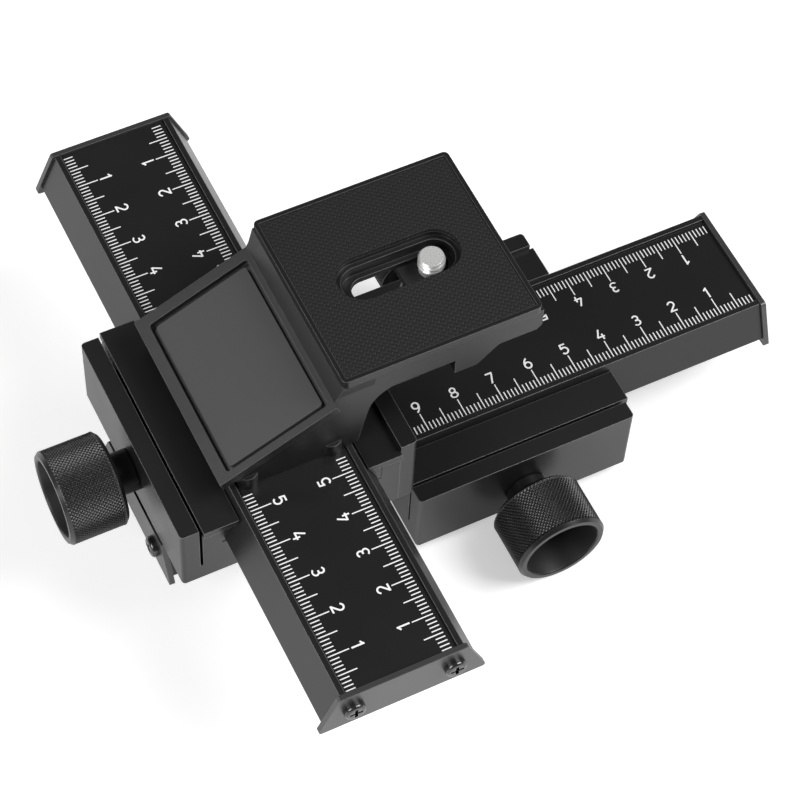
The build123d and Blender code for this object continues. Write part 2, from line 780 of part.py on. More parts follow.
riser_half_width = scale_half - riser_side_gap
riser_left = upper_x - riser_half_length
riser_right = upper_x + riser_half_length
keep("riser_plate",
     block(riser_left, riser_right, -riser_half_width, riser_half_width, scale_z, upper_z), lower_place)
riser_spots = [(upper_x + x, y) for x, y in mirrored_pairs(riser_screw_x, riser_screw_y)]
fasten_up_through("lower", 0, riser_spots, upper_z + deep_screw_bite,
                  ["riser_plate", "upper_carriage"], "riser_screws")

keep("head_bracket", make_head(), head_place)
keep("panel_plate", make_panel_plate(), head_place)
keep("platform_pad", make_pad(), head_place)
keep("screw_slider", make_slider(), head_place)
keep("camera_screw", make_camera_screw(), head_place)
keep("thumb_disk", make_thumb_disk(), head_place)
keep("thrust_washer", make_washer(), head_place)
head_spots = [(upper_x + x, upper_rail_offset + y) for x, y in mirrored_pairs(head_screw_x, head_screw_y)]
fasten_up_through("upper", upper_z, head_spots, head_z + deep_screw_bite, [], "head_screws")

os.makedirs("parts", exist_ok=True)
for name, shape in parts.items():
    export_step(shape, "parts/" + name + ".step")
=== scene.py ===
import bmesh
import bpy
import json
import math
from mathutils import Matrix, Vector


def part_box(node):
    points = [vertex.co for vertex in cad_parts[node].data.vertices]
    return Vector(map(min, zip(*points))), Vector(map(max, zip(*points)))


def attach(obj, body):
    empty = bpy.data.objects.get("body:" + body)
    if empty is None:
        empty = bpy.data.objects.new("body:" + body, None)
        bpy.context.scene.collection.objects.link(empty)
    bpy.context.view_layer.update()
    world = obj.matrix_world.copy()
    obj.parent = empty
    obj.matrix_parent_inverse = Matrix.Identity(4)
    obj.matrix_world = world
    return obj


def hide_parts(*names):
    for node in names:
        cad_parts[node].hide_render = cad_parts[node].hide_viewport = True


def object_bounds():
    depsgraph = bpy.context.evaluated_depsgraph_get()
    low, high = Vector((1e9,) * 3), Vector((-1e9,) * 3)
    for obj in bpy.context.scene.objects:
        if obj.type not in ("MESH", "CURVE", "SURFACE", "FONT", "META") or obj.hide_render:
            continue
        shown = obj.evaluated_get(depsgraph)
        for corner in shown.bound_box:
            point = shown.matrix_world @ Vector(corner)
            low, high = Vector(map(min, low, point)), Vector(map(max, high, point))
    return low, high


# Looks of a two-axis macro focusing rail: black anodised slides, knurled knobs, printed
# scales, a slanted panel and a padded camera platform. The scene is in metres; the sizes
# named below are in millimetres unless their heading says otherwise.
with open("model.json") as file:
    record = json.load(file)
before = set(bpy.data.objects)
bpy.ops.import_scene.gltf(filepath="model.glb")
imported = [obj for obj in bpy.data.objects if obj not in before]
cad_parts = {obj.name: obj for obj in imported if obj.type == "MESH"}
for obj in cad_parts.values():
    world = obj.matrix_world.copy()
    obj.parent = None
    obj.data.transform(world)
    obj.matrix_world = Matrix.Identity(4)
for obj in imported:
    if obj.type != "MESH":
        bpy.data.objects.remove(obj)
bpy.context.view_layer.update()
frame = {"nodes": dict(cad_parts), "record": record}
nodes = frame["nodes"]

mm = 0.001
near = 0.01

# ---- camera ----
camera_place = (-195.1, -312.2, 570.2)
camera_azimuth = -29.402
camera_elevation = 57.076
camera_roll = 3.843
camera_lens = 123.35
camera_sensor = 36.0
camera_clip = (10.0, 10000.0)

# ---- printed scale ----
lower_zero_past_end = 0.0
upper_zero_past_end = 0.1
mirrored_marks = 54
lower_print_shift = (0.2, -0.6)
upper_print_shift = (-0.4, -0.1)
tick_end_half = 12.62
tick_width = 0.27
tick_short = 2.3
tick_middle = 4.65
tick_long = 5.1
digit_height = 3.1
digit_gap = 0.5
digit_advance = 2.6
figure_height = 2.7
pen_width = 0.42
pen_lift = 0.001
print_height = 0.02
arc_steps_a_radian = 5

# ---- knobs ----
knurl_count = 72
knurl_parts = 4
knurl_pitch = 1.0
knurl_depth = 0.34
knurl_slope = 1.25
knurl_end_margin = 0.4
neck_radius = 5.1
neck_length = 4.7
neck_step = 0.1
drive_back_taper = 1.0
drive_rim = 0.8
drive_rim_inset = 0.64
cup_radius = 9.4
cup_depth = 9.2
cup_taper = 1.0
cup_lip = 0.25
cup_chamfer = 0.3
lock_neck_radius = 4.2
lock_neck_length = 3.0
lock_chamfer = 0.8
lock_dimple_radius = 5.5
lock_dimple_depth = 1.2
lock_dimple_taper = 0.4

# ---- camera screw ----
thread_pitch = 1.27
thread_depth = 0.65
thread_length = 3.3
thread_chamfer = 0.4
thread_slope = 1.1
thread_step = 0.02
thread_rows = 40
screw_sides = 96
screw_core_radius = 2.0
screw_shank_radius = 2.9
screw_neck_radius = 2.4
screw_shank_length = 1.6

# ---- floor and surround: brightness ----
floor_gap = 0.1
floor_size = 3000.0
floor_white = 0.85
floor_roughness = 0.9
floor_glow = 0.25
seen_glow = 0.46
surround_seen = 1.0
surround_fill = 0.14

# ---- lamps: place and side in metres, power in watts ----
lamps = {
    "key": ((1.0, -0.6, 1.3), 1.0, 28.0),
    "left_fill": ((-1.2, -0.4, 0.9), 0.8, 13.0),
    "panel_sheen": ((-0.9, 0.55, 0.9), 0.5, 2.5),
}

# ---- coats: base grey, painted edge highlight grey, roughness, grain strength, edge radius, gloss ----
coat_looks = {
    "slide_black": (0.011, 0.20, 0.32, 0.20, 0.25, 0.60),
    "cap_black": (0.030, 0.10, 0.36, 0.15, 0.25, 1.00),
    "head_black": (0.009, 0.12, 0.36, 0.25, 0.25, 0.55),
    "panel_grey": (0.058, 0.10, 0.55, 0.15, 0.25, 0.50),
    "knob_black": (0.008, 0.08, 0.30, 0.10, 0.10, 0.60),
    # painted shade: a darker, duller copy of knob_black for the knob's neck, which sits in shadow
    "neck_shaded_black": (0.005, 0.02, 0.50, 0.10, 0.10, 0.30),
    # painted light: a lighter copy of knob_black for the inside of the cup, where light falls into it
    "cup_lit_grey": (0.016, 0.06, 0.45, 0.15, 0.20, 0.80),
    "screw_black": (0.012, 0.50, 0.20, 0.05, 0.12, 1.00),
}

# ---- bare metals: colour, roughness, metallic share ----
metal_looks = {
    "steel": ((0.62, 0.62, 0.62), 0.24, 0.7),
    "bright_steel": ((0.85, 0.85, 0.84), 0.22, 0.5),
    "bronze": ((0.45, 0.30, 0.16), 0.35, 1.0),
}

# ---- grain and painted edge highlights: scales are counts a metre ----
edge_samples = 6
edge_gain = 9.0
edge_power = 3.0
edge_reach = 1.2
cloud_scale = 45.0
coat_grain_scale = 5000.0
coat_relief = 0.03
coat_cloud_spread = 0.12
metal_grain_scale = 2500.0
metal_edge_radius = 0.15
metal_spread = 0.14
plate_grain_scale = 900.0
plate_greys = (0.010, 0.014)
plate_roughness = 0.22
plate_spread = 0.10
print_grain_scale = 3000.0
print_greys = (0.88, 0.96)
print_roughness = 0.5
pad_turn = 38.0
pad_dash_length = 1.5
pad_row_height = 0.95
pad_groove = 0.24
pad_relief = 0.12
pad_greys = (0.005, 0.010)
pad_edge_radius = 0.25
pad_roughness = 0.55
nylon_grain_scale = 2500.0
nylon_relief = 0.05
nylon_greys = (0.010, 0.018)
nylon_roughness = 0.6


# ---------------------------------------------------------------- shader helpers
def new_group(name, inputs, outputs):
    """Node group with float inputs and typed outputs; returns the tree and its two ends."""
    tree = bpy.data.node_groups.new(name, "ShaderNodeTree")
    for label, value in inputs:
        socket = tree.interface.new_socket(name=label, in_out="INPUT", socket_type="NodeSocketFloat")
        socket.default_value = value
    for label, kind in outputs:
        tree.interface.new_socket(name=label, in_out="OUTPUT", socket_type=kind)
    start = tree.nodes.new("NodeGroupInput")
    end = tree.nodes.new("NodeGroupOutput")
    return tree, start, end


def add_math(tree, operation, first, second, third=None):
    node = tree.nodes.new("ShaderNodeMath")
    node.operation = operation
    for slot, value in zip(node.inputs, (first, second, third)):
        if value is None:
            continue
        if isinstance(value, (int, float)):
            slot.default_value = value
        else:
            tree.links.new(value, slot)
    return node.outputs[0]


def add_noise(tree, vector, scale):
    node = tree.nodes.new("ShaderNodeTexNoise")
    tree.links.new(vector, node.inputs["Vector"])
    if isinstance(scale, (int, float)):
        node.inputs["Scale"].default_value = scale
    else:
        tree.links.new(scale, node.inputs["Scale"])
    return node.outputs["Fac"]


def build_worn_edges():
    """Rounded edge normals, and a mask that is 1 on sharp outer edges, where coated metals get a painted
    highlight.
    """
    outputs = [("Normal", "NodeSocketVector"), ("Edge", "NodeSocketFloat")]
    tree, start, end = new_group("rounded_edge_highlight", [("Radius", 0.0004)], outputs)
    bevel = tree.nodes.new("ShaderNodeBevel")
    bevel.samples = edge_samples
    tree.links.new(start.outputs["Radius"], bevel.inputs["Radius"])
    geometry = tree.nodes.new("ShaderNodeNewGeometry")
    dot = tree.nodes.new("ShaderNodeVectorMath")
    dot.operation = "DOT_PRODUCT"
    tree.links.new(bevel.outputs["Normal"], dot.inputs[0])
    tree.links.new(geometry.outputs["Normal"], dot.inputs[1])
    turned = add_math(tree, "SUBTRACT", 1.0, dot.outputs["Value"])
    edge = add_math(tree, "MINIMUM", add_math(tree, "MULTIPLY", turned, edge_gain), 1.0)
    shade = tree.nodes.new("ShaderNodeAmbientOcclusion")
    shade.samples = edge_samples
    shade.inputs["Distance"].default_value = edge_reach * mm
    outer = add_math(tree, "POWER", shade.outputs["AO"], edge_power)
    edge = add_math(tree, "MULTIPLY", edge, outer)
    tree.links.new(bevel.outputs["Normal"], end.inputs["Normal"])
    tree.links.new(edge, end.inputs["Edge"])
    return tree


def build_fine_grain():
    """Blasted grain: a height for bump, and a slow cloudy mask for sheen."""
    outputs = [("Height", "NodeSocketFloat"), ("Cloud", "NodeSocketFloat")]
    tree, start, end = new_group("fine_grain", [("Grain Scale", 4000.0)], outputs)
    place = tree.nodes.new("ShaderNodeTexCoord")
    fine = add_noise(tree, place.outputs["Object"], start.outputs["Grain Scale"])
    cloud = add_noise(tree, place.outputs["Object"], cloud_scale)
    tree.links.new(fine, end.inputs["Height"])
    tree.links.new(cloud, end.inputs["Cloud"])
    return tree


groups = {"edges": build_worn_edges(), "grain": build_fine_grain()}


def add_group(tree, name, **values):
    node = tree.nodes.new("ShaderNodeGroup")
    node.node_tree = groups[name]
    for label, value in values.items():
        node.inputs[label.replace("_", " ")].default_value = value
    return node


def mix_colours(tree, mask, low, high):
    node = tree.nodes.new("ShaderNodeMix")
    node.data_type = "RGBA"
    node.inputs["A"].default_value = (*low, 1.0)
    node.inputs["B"].default_value = (*high, 1.0)
    tree.links.new(mask, node.inputs["Factor"])
    return node.outputs["Result"]


def mix_greys(tree, mask, greys):
    return mix_colours(tree, mask, (greys[0],) * 3, (greys[1],) * 3)


def add_bump(tree, height, strength, distance, normal=None):
    node = tree.nodes.new("ShaderNodeBump")
    node.inputs["Strength"].default_value = strength
    node.inputs["Distance"].default_value = distance
    tree.links.new(height, node.inputs["Height"])
    if normal is not None:
        tree.links.new(normal, node.inputs["Normal"])
    return node.outputs["Normal"]


def add_spread(tree, mask, spread, base):
    """Value that runs from base to base + spread as the mask rises."""
    return add_math(tree, "ADD", add_math(tree, "MULTIPLY", mask, spread), base)


def new_material(name):
    material = bpy.data.materials.new(name)
    material.use_nodes = True
    return material, material.node_tree, material.node_tree.nodes["Principled BSDF"]


# ---------------------------------------------------------------- materials
def coated_metal(name, base, edge, roughness, grain_strength, edge_radius, gloss):
    """Fine-blasted coated metal: grain, slightly cloudy sheen and a painted highlight on sharp outer edges.
    """
    material, tree, shader = new_material(name)
    edges = add_group(tree, "edges", Radius=edge_radius * mm)
    grain = add_group(tree, "grain", Grain_Scale=coat_grain_scale)
    # painted highlight: the edge grey is laid on sharp outer edges in place of the light they catch
    tint = mix_greys(tree, edges.outputs["Edge"], (base, edge))
    tree.links.new(tint, shader.inputs["Base Color"])
    sheen = add_spread(tree, grain.outputs["Cloud"], coat_cloud_spread, roughness - coat_cloud_spread / 2)
    tree.links.new(sheen, shader.inputs["Roughness"])
    height = grain.outputs["Height"]
    normal = add_bump(tree, height, grain_strength, coat_relief * mm, edges.outputs["Normal"])
    tree.links.new(normal, shader.inputs["Normal"])
    shader.inputs["Specular IOR Level"].default_value = gloss
    return material


def bare_metal(name, colour, roughness, metallic):
    """Turned or ground bare metal with fine streaks in its gloss."""
    material, tree, shader = new_material(name)
    edges = add_group(tree, "edges", Radius=metal_edge_radius * mm)
    grain = add_group(tree, "grain", Grain_Scale=metal_grain_scale)
    dull = tuple(part * 0.85 for part in colour)
    tree.links.new(mix_colours(tree, grain.outputs["Cloud"], colour, dull), shader.inputs["Base Color"])
    sheen = add_spread(tree, grain.outputs["Height"], metal_spread, roughness)
    tree.links.new(sheen, shader.inputs["Roughness"])
    tree.links.new(edges.outputs["Normal"], shader.inputs["Normal"])
    shader.inputs["Metallic"].default_value = metallic
    return material


def scale_plate(name):
    """Smooth glossy black plate under the printed scale."""
    material, tree, shader = new_material(name)
    cloud = add_group(tree, "grain", Grain_Scale=plate_grain_scale).outputs["Cloud"]
    tree.links.new(mix_greys(tree, cloud, plate_greys), shader.inputs["Base Color"])
    tree.links.new(add_spread(tree, cloud, plate_spread, plate_roughness), shader.inputs["Roughness"])
    return material


def printed_white(name):
    """White screen print, a little uneven."""
    material, tree, shader = new_material(name)
    grain = add_group(tree, "grain", Grain_Scale=print_grain_scale)
    tree.links.new(mix_greys(tree, grain.outputs["Height"], print_greys), shader.inputs["Base Color"])
    shader.inputs["Roughness"].default_value = print_roughness
    return material


def pad_rubber(name):
    """Rubber pad with rows of short slanting dashes pressed into it."""
    material, tree, shader = new_material(name)
    place = tree.nodes.new("ShaderNodeTexCoord")
    turn = tree.nodes.new("ShaderNodeMapping")
    turn.inputs["Rotation"].default_value = (0.0, 0.0, math.radians(pad_turn))
    turn.inputs["Scale"].default_value = (1.0, 1.0, 0.0)
    tree.links.new(place.outputs["Object"], turn.inputs["Vector"])
    brick = tree.nodes.new("ShaderNodeTexBrick")
    brick.offset = 0.5
    brick.inputs["Scale"].default_value = 1.0
    brick.inputs["Brick Width"].default_value = pad_dash_length * mm
    brick.inputs["Row Height"].default_value = pad_row_height * mm
    brick.inputs["Mortar Size"].default_value = pad_groove * mm
    brick.inputs["Mortar Smooth"].default_value = 1.0
    tree.links.new(turn.outputs["Vector"], brick.inputs["Vector"])
    raised = add_math(tree, "SUBTRACT", 1.0, brick.outputs["Fac"])
    tree.links.new(mix_greys(tree, raised, pad_greys), shader.inputs["Base Color"])
    edges = add_group(tree, "edges", Radius=pad_edge_radius * mm)
    normal = add_bump(tree, raised, 0.6, pad_relief * mm, edges.outputs["Normal"])
    tree.links.new(normal, shader.inputs["Normal"])
    shader.inputs["Roughness"].default_value = pad_roughness
    return material


def moulded_nylon(name):
    """Dull black moulding of the hidden sliding pieces."""
    material, tree, shader = new_material(name)
    grain = add_group(tree, "grain", Grain_Scale=nylon_grain_scale)
    tree.links.new(mix_greys(tree, grain.outputs["Cloud"], nylon_greys), shader.inputs["Base Color"])
    normal = add_bump(tree, grain.outputs["Height"], 0.3, nylon_relief * mm)
    tree.links.new(normal, shader.inputs["Normal"])
    shader.inputs["Roughness"].default_value = nylon_roughness
    return material


looks = {name: coated_metal(name, *values) for name, values in coat_looks.items()}
looks.update({name: bare_metal(name, *values) for name, values in metal_looks.items()})
looks["scale_plate"] = scale_plate("scale_plate")
looks["printed_white"] = printed_white("printed_white")
looks["pad_rubber"] = pad_rubber("pad_rubber")
looks["moulded_nylon"] = moulded_nylon("moulded_nylon")

# Look of each node by the ending of its name; all others are slide_black.
look_of_node = {
    "_scale": "scale_plate", "_drive_knob": "knob_black", "_lock_knob": "knob_black",
    "_cap_screws": "screw_black", "_wall_screws": "screw_black", "_knob_screw": "screw_black",
    "riser_screws": "screw_black", "head_screws": "screw_black", "_rack": "steel",
    "_pinion": "steel", "_drive_shaft": "steel", "_lock_screw": "steel", "_shaft_bushes": "bronze",
    "head_bracket": "head_black", "panel_plate": "panel_grey", "platform_pad": "pad_rubber",
    "camera_screw": "bright_steel", "thumb_disk": "knob_black", "thrust_washer": "moulded_nylon",
    "screw_slider": "moulded_nylon", "_end_cap_left": "cap_black", "_end_cap_right": "cap_black",
    "_end_cap_back": "cap_black", "_end_cap_front": "cap_black",
}


def dress_nodes():
    for name, node in nodes.items():
        choices = [look for ending, look in look_of_node.items() if name.endswith(ending)]
        node.data.materials.clear()
        node.data.materials.append(looks[choices[0] if choices else "slide_black"])


# ---------------------------------------------------------------- mesh helpers
def frame_body(node):
    """Name of the body that a node belongs to."""
    for body, members in frame["record"]["behaviour"]["bodies"].items():
        if node in members:
            return body
    raise ValueError(node)


def finish_piece(shape, name, finishes, body, smooth=False):
    """Turn a bmesh into an object at the origin that rides on a body."""
    bmesh.ops.remove_doubles(shape, verts=shape.verts, dist=1e-7)
    bmesh.ops.recalc_face_normals(shape, faces=shape.faces)
    mesh = bpy.data.meshes.new(name)
    shape.to_mesh(mesh)
    shape.free()
    if smooth:
        mesh.shade_smooth()
        mesh.set_sharp_from_angle(angle=math.radians(30.0))
    for finish in finishes:
        mesh.materials.append(looks[finish])
    piece = bpy.data.objects.new(name, mesh)
    bpy.context.collection.objects.link(piece)
    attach(piece, body)
    return piece


def spin_profile(profile, steps):
    """Body turned about Z from (radius, height) points in millimetres."""
    shape = bmesh.new()
    corners = [shape.verts.new((radius * mm, 0.0, height * mm)) for radius, height in profile]
    lines = [shape.edges.new(pair) for pair in zip(corners, corners[1:])]
    bmesh.ops.spin(shape, geom=corners + lines, cent=(0, 0, 0), axis=(0, 0, 1), dvec=(0, 0, 0),
                   angle=2 * math.pi, steps=steps, use_merge=True, use_duplicate=False)
    bmesh.ops.remove_doubles(shape, verts=shape.verts, dist=1e-6)
    return shape


# ---------------------------------------------------------------- knobs
def knurl(shape, radius, low, high):
    """Press two crossing helical grooves into the barrel between two heights."""
    low -= near
    high += near
    barrel = []
    for face in shape.faces:
        heights = [corner.co.z / mm for corner in face.verts]
        reaches = [math.hypot(corner.co.x, corner.co.y) / mm for corner in face.verts]
        if min(heights) > low and max(heights) < high and min(reaches) > radius - near:
            barrel.append(face)
    bmesh.ops.poke(shape, faces=barrel)
    for vertex in shape.verts:
        height = vertex.co.z / mm
        reach = math.hypot(vertex.co.x, vertex.co.y) / mm
        if reach < radius - near or not low < height < high:
            continue
        turn = math.atan2(vertex.co.y, vertex.co.x) * knurl_count / (2 * math.pi)
        rise = (height - low) / knurl_pitch
        lanes = (turn + rise, turn - rise)
        ridge = min(1.0 - abs(2.0 * (lane % 1.0) - 1.0) for lane in lanes)
        depth = knurl_depth * max(0.0, 1.0 - knurl_slope * ridge)
        vertex.co.xy *= (radius - depth) / reach


def wall_frame(knob, towards):
    """Matrix that stands a piece built along +Z on the wall that a knob turns against."""
    low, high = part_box(knob)
    middle = (Vector(low) + Vector(high)) / 2
    start = low if max(towards) > 0 else high
    seat = Vector((start[i] if towards[i] else middle[i] for i in range(3)))
    turn = Vector(towards).to_track_quat("Z", "Y").to_matrix().to_4x4()
    return Matrix.Translation(seat) @ turn


def knob_size(node):
    """Radius and length of a knob."""
    low, high = (Vector(corner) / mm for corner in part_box(node))
    return max(high - low) / 2, min(high - low)


def barrel_points(radius, low, high):
    """Evenly spaced points up a knurled barrel."""
    count = round((high - low) / knurl_pitch * knurl_parts)
    return [(radius, low + (high - low) * step / count) for step in range(count + 1)]


def finish_knob(shape, node, body, towards, finishes):
    bmesh.ops.transform(shape, matrix=wall_frame(node, towards), verts=shape.verts)
    piece = finish_piece(shape, node + "_knurled", finishes, body)
    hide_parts(node)


def drive_knob(node, body, towards):
    """Knurled knob on a neck with painted shade, with a deep cup in its outer end whose inside has painted
    light.
    """
    radius, length = knob_size(node)
    shoulder = neck_length + drive_back_taper
    knurl_low = shoulder + knurl_end_margin
    knurl_high = length - drive_rim - knurl_end_margin
    profile = [(0.0, 0.0), (neck_radius, 0.0), (neck_radius, neck_length)]
    profile += [(radius - drive_back_taper, neck_length + neck_step), (radius, shoulder)]
    profile += barrel_points(radius, knurl_low, knurl_high)
    profile += [(radius, length - drive_rim), (radius - drive_rim_inset, length)]
    profile += [(cup_radius + cup_lip, length), (cup_radius, length - cup_chamfer)]
    profile += [(cup_radius - cup_taper, length - cup_depth), (0.0, length - cup_depth)]
    shape = spin_profile(profile, knurl_count * knurl_parts)
    knurl(shape, radius, knurl_low, knurl_high)
    finishes = ["knob_black", "neck_shaded_black", "cup_lit_grey"]
    for face in shape.faces:
        middle = face.calc_center_median() / mm
        # the neck faces get the painted shade finish
        if middle.xy.length < neck_radius + neck_step and middle.z < neck_length:
            face.material_index = finishes.index("neck_shaded_black")
        # the faces inside the cup get the painted light finish
        elif middle.xy.length < cup_radius and middle.z > length - cup_depth - neck_step:
            face.material_index = finishes.index("cup_lit_grey")
    finish_knob(shape, node, body, towards, finishes)


def lock_knob(node, body, towards):
    """Smaller knurled knob with a shallow dimple in its outer end."""
    radius, length = knob_size(node)
    knurl_low = lock_neck_length + lock_chamfer + knurl_end_margin
    knurl_high = length - lock_chamfer - knurl_end_margin
    dimple_floor = length - lock_dimple_depth
    profile = [(0.0, 0.0), (lock_neck_radius, 0.0), (lock_neck_radius, lock_neck_length)]
    profile += [(radius - lock_chamfer, lock_neck_length), (radius, lock_neck_length + lock_chamfer)]
    profile += barrel_points(radius, knurl_low, knurl_high)
    profile += [(radius, length - lock_chamfer), (radius - lock_chamfer, length)]
    profile += [(lock_dimple_radius, length), (lock_dimple_radius - lock_dimple_taper, dimple_floor)]
    profile += [(0.0, dimple_floor)]
    shape = spin_profile(profile, knurl_count * knurl_parts)
    knurl(shape, radius, knurl_low, knurl_high)
    finish_knob(shape, node, body, towards, ["knob_black"])


# ---------------------------------------------------------------- printed scales
# Figures as straight bars (from x, y to x, y) and arcs (centre, reaches, angles in degrees).
# Their lines run along the pen's middle, figure_height tall, with their feet at y = 0.
figure_bars = {
    "0": [], "1": [(-0.65, 2.1, 0.1, 2.65), (0.1, 2.9, 0.1, -0.2)],
    "2": [(0.65, 1.48, -0.85, 0.0), (-1.0, 0.0, 0.9, 0.0)], "3": [(-0.25, 1.4, 0.2, 1.4)],
    "4": [(0.15, 2.9, -0.92, 0.72), (-1.05, 0.72, 0.95, 0.72), (0.42, 1.5, 0.42, -0.2)],
    "5": [(0.75, 2.7, -0.75, 2.7), (-0.57, 2.7, -0.67, 1.4)], "6": [],
    "7": [(-0.9, 2.7, 0.93, 2.7), (0.76, 2.6, -0.25, -0.2)], "8": [], "9": [],
}
figure_arcs = {
    "0": [(0, 1.35, 0.82, 1.35, 0, 360)], "1": [], "2": [(0, 1.92, 0.78, 0.78, 165, -35)],
    "3": [(0, 2.03, 0.68, 0.67, 150, -80), (0, 0.72, 0.82, 0.72, 75, -150)], "4": [],
    "5": [(0, 0.9, 0.85, 0.9, 138, -145)],
    "6": [(0, 0.85, 0.82, 0.85, 0, 360), (1.6, 0.85, 2.42, 2.42, 180, 124)], "7": [],
    "8": [(0, 2.02, 0.65, 0.68, 0, 360), (0, 0.7, 0.83, 0.7, 0, 360)],
    "9": [(0, 1.85, 0.82, 0.85, 0, 360), (-1.6, 1.85, 2.42, 2.42, 0, -56)],
}
figures = {}


def add_flat(shape, matrix):
    """Flat unit square, put in place by a matrix."""
    bmesh.ops.create_grid(shape, x_segments=1, y_segments=1, size=0.5, matrix=matrix)


def add_bar(shape, start, end, lift):
    """Flat bar of the pen's width between two points."""
    along = Vector(end) - Vector(start)
    middle = (Vector(end) + Vector(start)) / 2
    turn = Matrix.Rotation(math.atan2(along.y, along.x), 4, "Z")
    size = Matrix.Diagonal((along.length * mm, pen_width * mm, 1.0, 1.0))
    add_flat(shape, Matrix.Translation((middle.x * mm, middle.y * mm, lift)) @ turn @ size)


def add_arc(shape, centre, reaches, angles, lift):
    """Flat bow of the pen's width round part of an ellipse."""
    before = set(shape.verts)
    ends = [shape.verts.new(((reaches[0] + side * pen_width / 2) * mm, 0, 0)) for side in (-1, 1)]
    sweep = math.radians(angles[1] - angles[0])
    steps = max(3, round(abs(sweep) * arc_steps_a_radian))
    bmesh.ops.spin(shape, geom=ends + [shape.edges.new(ends)], cent=(0, 0, 0), axis=(0, 0, 1),
                   dvec=(0, 0, 0), angle=sweep, steps=steps, use_duplicate=False)
    fresh = [vertex for vertex in shape.verts if vertex not in before]
    turn = Matrix.Rotation(math.radians(angles[0]), 4, "Z")
    squash = Matrix.Diagonal((1.0, reaches[1] / reaches[0], 1.0, 1.0))
    place = Matrix.Translation((centre[0] * mm, centre[1] * mm, lift))
    bmesh.ops.transform(shape, matrix=place @ squash @ turn, verts=fresh)


def figure_mesh(figure):
    """Flat figure, centred, standing on y = 0; each stroke lies a hair over the last."""
    shape = bmesh.new()
    lift = 0.0
    for x0, y0, x1, y1 in figure_bars[figure]:
        add_bar(shape, (x0, y0), (x1, y1), lift)
        lift += pen_lift * mm
    for x, y, reach_x, reach_y, start, end in figure_arcs[figure]:
        add_arc(shape, (x, y), (reach_x, reach_y), (start, end), lift)
        lift += pen_lift * mm
    size = Matrix.Scale(digit_height / (figure_height + pen_width), 4)
    foot = Matrix.Translation((0, pen_width / 2 * mm, 0))
    bmesh.ops.transform(shape, matrix=size @ foot, verts=shape.verts)
    for face in shape.faces:
        if face.normal.z < 0:
            face.normal_flip()
    mesh = bpy.data.meshes.new("figure_" + figure)
    shape.to_mesh(mesh)
    shape.free()
    return mesh


def add_number(shape, value, x, side):
    """Print one number inside the ticks of one edge, its foot towards that edge."""
    text = str(value)
    foot = side * (tick_end_half - tick_long - digit_gap) * mm
    upright = Matrix.Identity(4) if side < 0 else Matrix.Rotation(math.pi, 4, "Z")
    for place, figure in enumerate(text):
        if figure not in figures:
            figures[figure] = figure_mesh(figure)
        before = set(shape.verts)
        shape.from_mesh(figures[figure])
        fresh = [vertex for vertex in shape.verts if vertex not in before]
        along = (place - (len(text) - 1) / 2) * digit_advance * mm
        spot = Matrix.Translation((x * mm, foot, 0)) @ upright @ Matrix.Translation((along, 0, 0))
        bmesh.ops.transform(shape, matrix=spot, verts=fresh)


def add_tick(shape, x, side, length):
    """Print one tick from the scale's edge inwards."""
    middle = side * (tick_end_half - length / 2)
    size = Matrix.Diagonal((tick_width * mm, length * mm, 1.0, 1.0))
    add_flat(shape, Matrix.Translation((x * mm, middle * mm, 0)) @ size)


def scale_marks(plate, body, turn, from_both_ends, zero_past_end, shift):
    """Ticks and numbers along both edges of a scale plate."""
    low, high = (Vector(corner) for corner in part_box(plate))
    half = max((high - low) / mm) / 2 + zero_past_end
    last = round(2 * half)
    shape = bmesh.new()
    for step in range(1, last):
        count = min(step, last - step) if from_both_ends else step
        if from_both_ends and count > mirrored_marks:
            continue
        length = tick_long if count % 10 == 0 else tick_middle if count % 5 == 0 else tick_short
        for side in (-1, 1):
            add_tick(shape, half - step, side, length)
            if count % 10 == 0:
                add_number(shape, count // 10, half - step, side)
    middle = (low + high) / 2 + Vector((shift[0], shift[1], 0)) * mm
    place = Matrix.Translation((middle.x, middle.y, high.z + print_height * mm))
    bmesh.ops.transform(shape, matrix=place @ Matrix.Rotation(turn, 4, "Z"), verts=shape.verts)
    piece = finish_piece(shape, plate + "_print", ["printed_white"], body)
    if sum(face.normal.z for face in piece.data.polygons) < 0:
        piece.data.flip_normals()


# ---------------------------------------------------------------- camera screw
def camera_screw():
    """Helical thread over a plain shank, and a thin neck down to the thumb disk."""
    low, high = (Vector(corner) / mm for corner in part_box("camera_screw"))
    centre = (low + high) / 2
    radius = (high.x - low.x) / 2
    thread_low = high.z - thread_length
    shank_low = thread_low - screw_shank_length
    crest_high = high.z - thread_chamfer
    profile = [(0.0, low.z), (screw_neck_radius, low.z), (screw_neck_radius, shank_low)]
    profile += [(screw_shank_radius, shank_low), (screw_shank_radius, thread_low - thread_step)]
    for step in range(thread_rows + 1):
        profile.append((radius, thread_low + (crest_high - thread_low) * step / thread_rows))
    profile += [(radius - thread_chamfer, high.z), (0.0, high.z)]
    shape = spin_profile(profile, screw_sides)
    for vertex in shape.verts:
        height = vertex.co.z / mm
        reach = vertex.co.xy.length / mm
        if not thread_low - near <= height <= crest_high + near or reach < screw_core_radius:
            continue
        lane = height / thread_pitch - math.atan2(vertex.co.y, vertex.co.x) / (2 * math.pi)
        groove = max(0.0, 1.0 - thread_slope * (1.0 - abs(2.0 * (lane % 1.0) - 1.0)))
        vertex.co.xy *= (radius - thread_depth * groove) / radius
    place = Matrix.Translation((centre.x * mm, centre.y * mm, 0))
    bmesh.ops.transform(shape, matrix=place, verts=shape.verts)
    piece = finish_piece(shape, "camera_screw_threaded", ["bright_steel"], frame_body("camera_screw"), True)
    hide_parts("camera_screw")


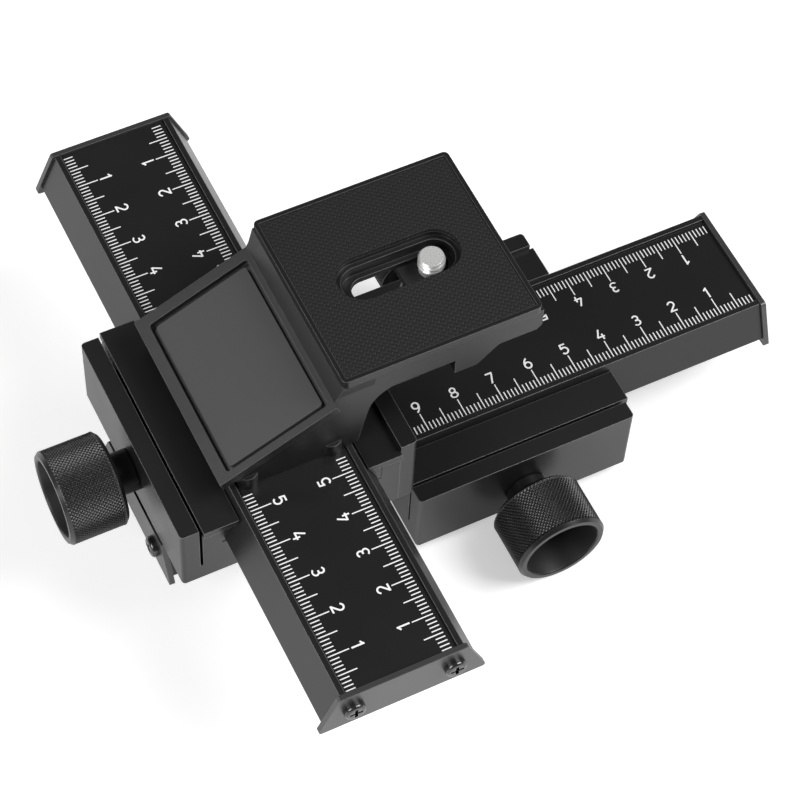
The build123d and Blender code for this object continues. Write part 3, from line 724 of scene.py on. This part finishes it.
# ---------------------------------------------------------------- set
def make_floor():
    """White floor that takes the shadow and looks a little brighter to the camera."""
    low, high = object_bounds()
    shape = bmesh.new()
    bmesh.ops.create_grid(shape, x_segments=1, y_segments=1, size=floor_size / 2 * mm)
    place = Matrix.Translation((0, 0, low.z - floor_gap * mm))
    bmesh.ops.transform(shape, matrix=place, verts=shape.verts)
    mesh = bpy.data.meshes.new("floor")
    shape.to_mesh(mesh)
    shape.free()
    floor = bpy.data.objects.new("floor", mesh)
    bpy.context.collection.objects.link(floor)
    material, tree, shader = new_material("studio_floor")
    shader.inputs["Base Color"].default_value = (floor_white, floor_white, floor_white, 1.0)
    shader.inputs["Roughness"].default_value = floor_roughness
    shader.inputs["Specular IOR Level"].default_value = 0.0
    shader.inputs["Emission Color"].default_value = (1.0, 1.0, 1.0, 1.0)
    path = tree.nodes.new("ShaderNodeLightPath")
    glow = add_spread(tree, path.outputs["Is Camera Ray"], seen_glow - floor_glow, floor_glow)
    tree.links.new(glow, shader.inputs["Emission Strength"])
    mesh.materials.append(material)


def make_world():
    """Pale studio surround: white to the camera, softer to the object."""
    world = bpy.data.worlds.new("studio")
    bpy.context.scene.world = world
    world.use_nodes = True
    tree = world.node_tree
    tree.nodes.clear()
    path = tree.nodes.new("ShaderNodeLightPath")
    mix = tree.nodes.new("ShaderNodeMixShader")
    end = tree.nodes.new("ShaderNodeOutputWorld")
    tree.links.new(path.outputs["Is Camera Ray"], mix.inputs["Fac"])
    for slot, strength in ((1, surround_fill), (2, surround_seen)):
        light = tree.nodes.new("ShaderNodeBackground")
        light.inputs["Strength"].default_value = strength
        tree.links.new(light.outputs["Background"], mix.inputs[slot])
    tree.links.new(mix.outputs["Shader"], end.inputs["Surface"])


def make_softbox(name, place, side, power):
    """Square area lamp that faces the origin."""
    data = bpy.data.lights.new(name, "AREA")
    data.shape = "SQUARE"
    data.size = side
    data.energy = power
    lamp = bpy.data.objects.new(name, data)
    bpy.context.collection.objects.link(lamp)
    lamp.location = place
    lamp.rotation_euler = (-Vector(place)).to_track_quat("-Z", "Y").to_euler()


def make_camera():
    """Camera fitted to the photograph."""
    data = bpy.data.cameras.new("camera")
    data.lens = camera_lens
    data.sensor_width = camera_sensor
    data.clip_start, data.clip_end = (distance * mm for distance in camera_clip)
    camera = bpy.data.objects.new("camera", data)
    bpy.context.collection.objects.link(camera)
    turn = Matrix.Rotation(math.radians(camera_azimuth), 4, "Z")
    turn = turn @ Matrix.Rotation(math.radians(90.0 - camera_elevation), 4, "X")
    turn = turn @ Matrix.Rotation(math.radians(camera_roll), 4, "Z")
    camera.matrix_world = Matrix.Translation(Vector(camera_place) * mm) @ turn
    bpy.context.scene.camera = camera


# ---------------------------------------------------------------- build
dress_nodes()
drive_knob("lower_drive_knob", "lower_drive", (0, -1, 0))
drive_knob("upper_drive_knob", "upper_drive", (-1, 0, 0))
lock_knob("lower_lock_knob", "lower_lock", (0, 1, 0))
lock_knob("upper_lock_knob", "upper_lock", (1, 0, 0))
scale_marks("lower_scale", "lower_slide", 0.0, False, lower_zero_past_end, lower_print_shift)
scale_marks("upper_scale", "upper_slide", math.pi / 2, True, upper_zero_past_end, upper_print_shift)
camera_screw()

make_camera()
make_floor()
make_world()
for lamp_name, lamp_values in lamps.items():
    make_softbox(lamp_name, *lamp_values)
bpy.context.scene.view_settings.view_transform = "Standard"
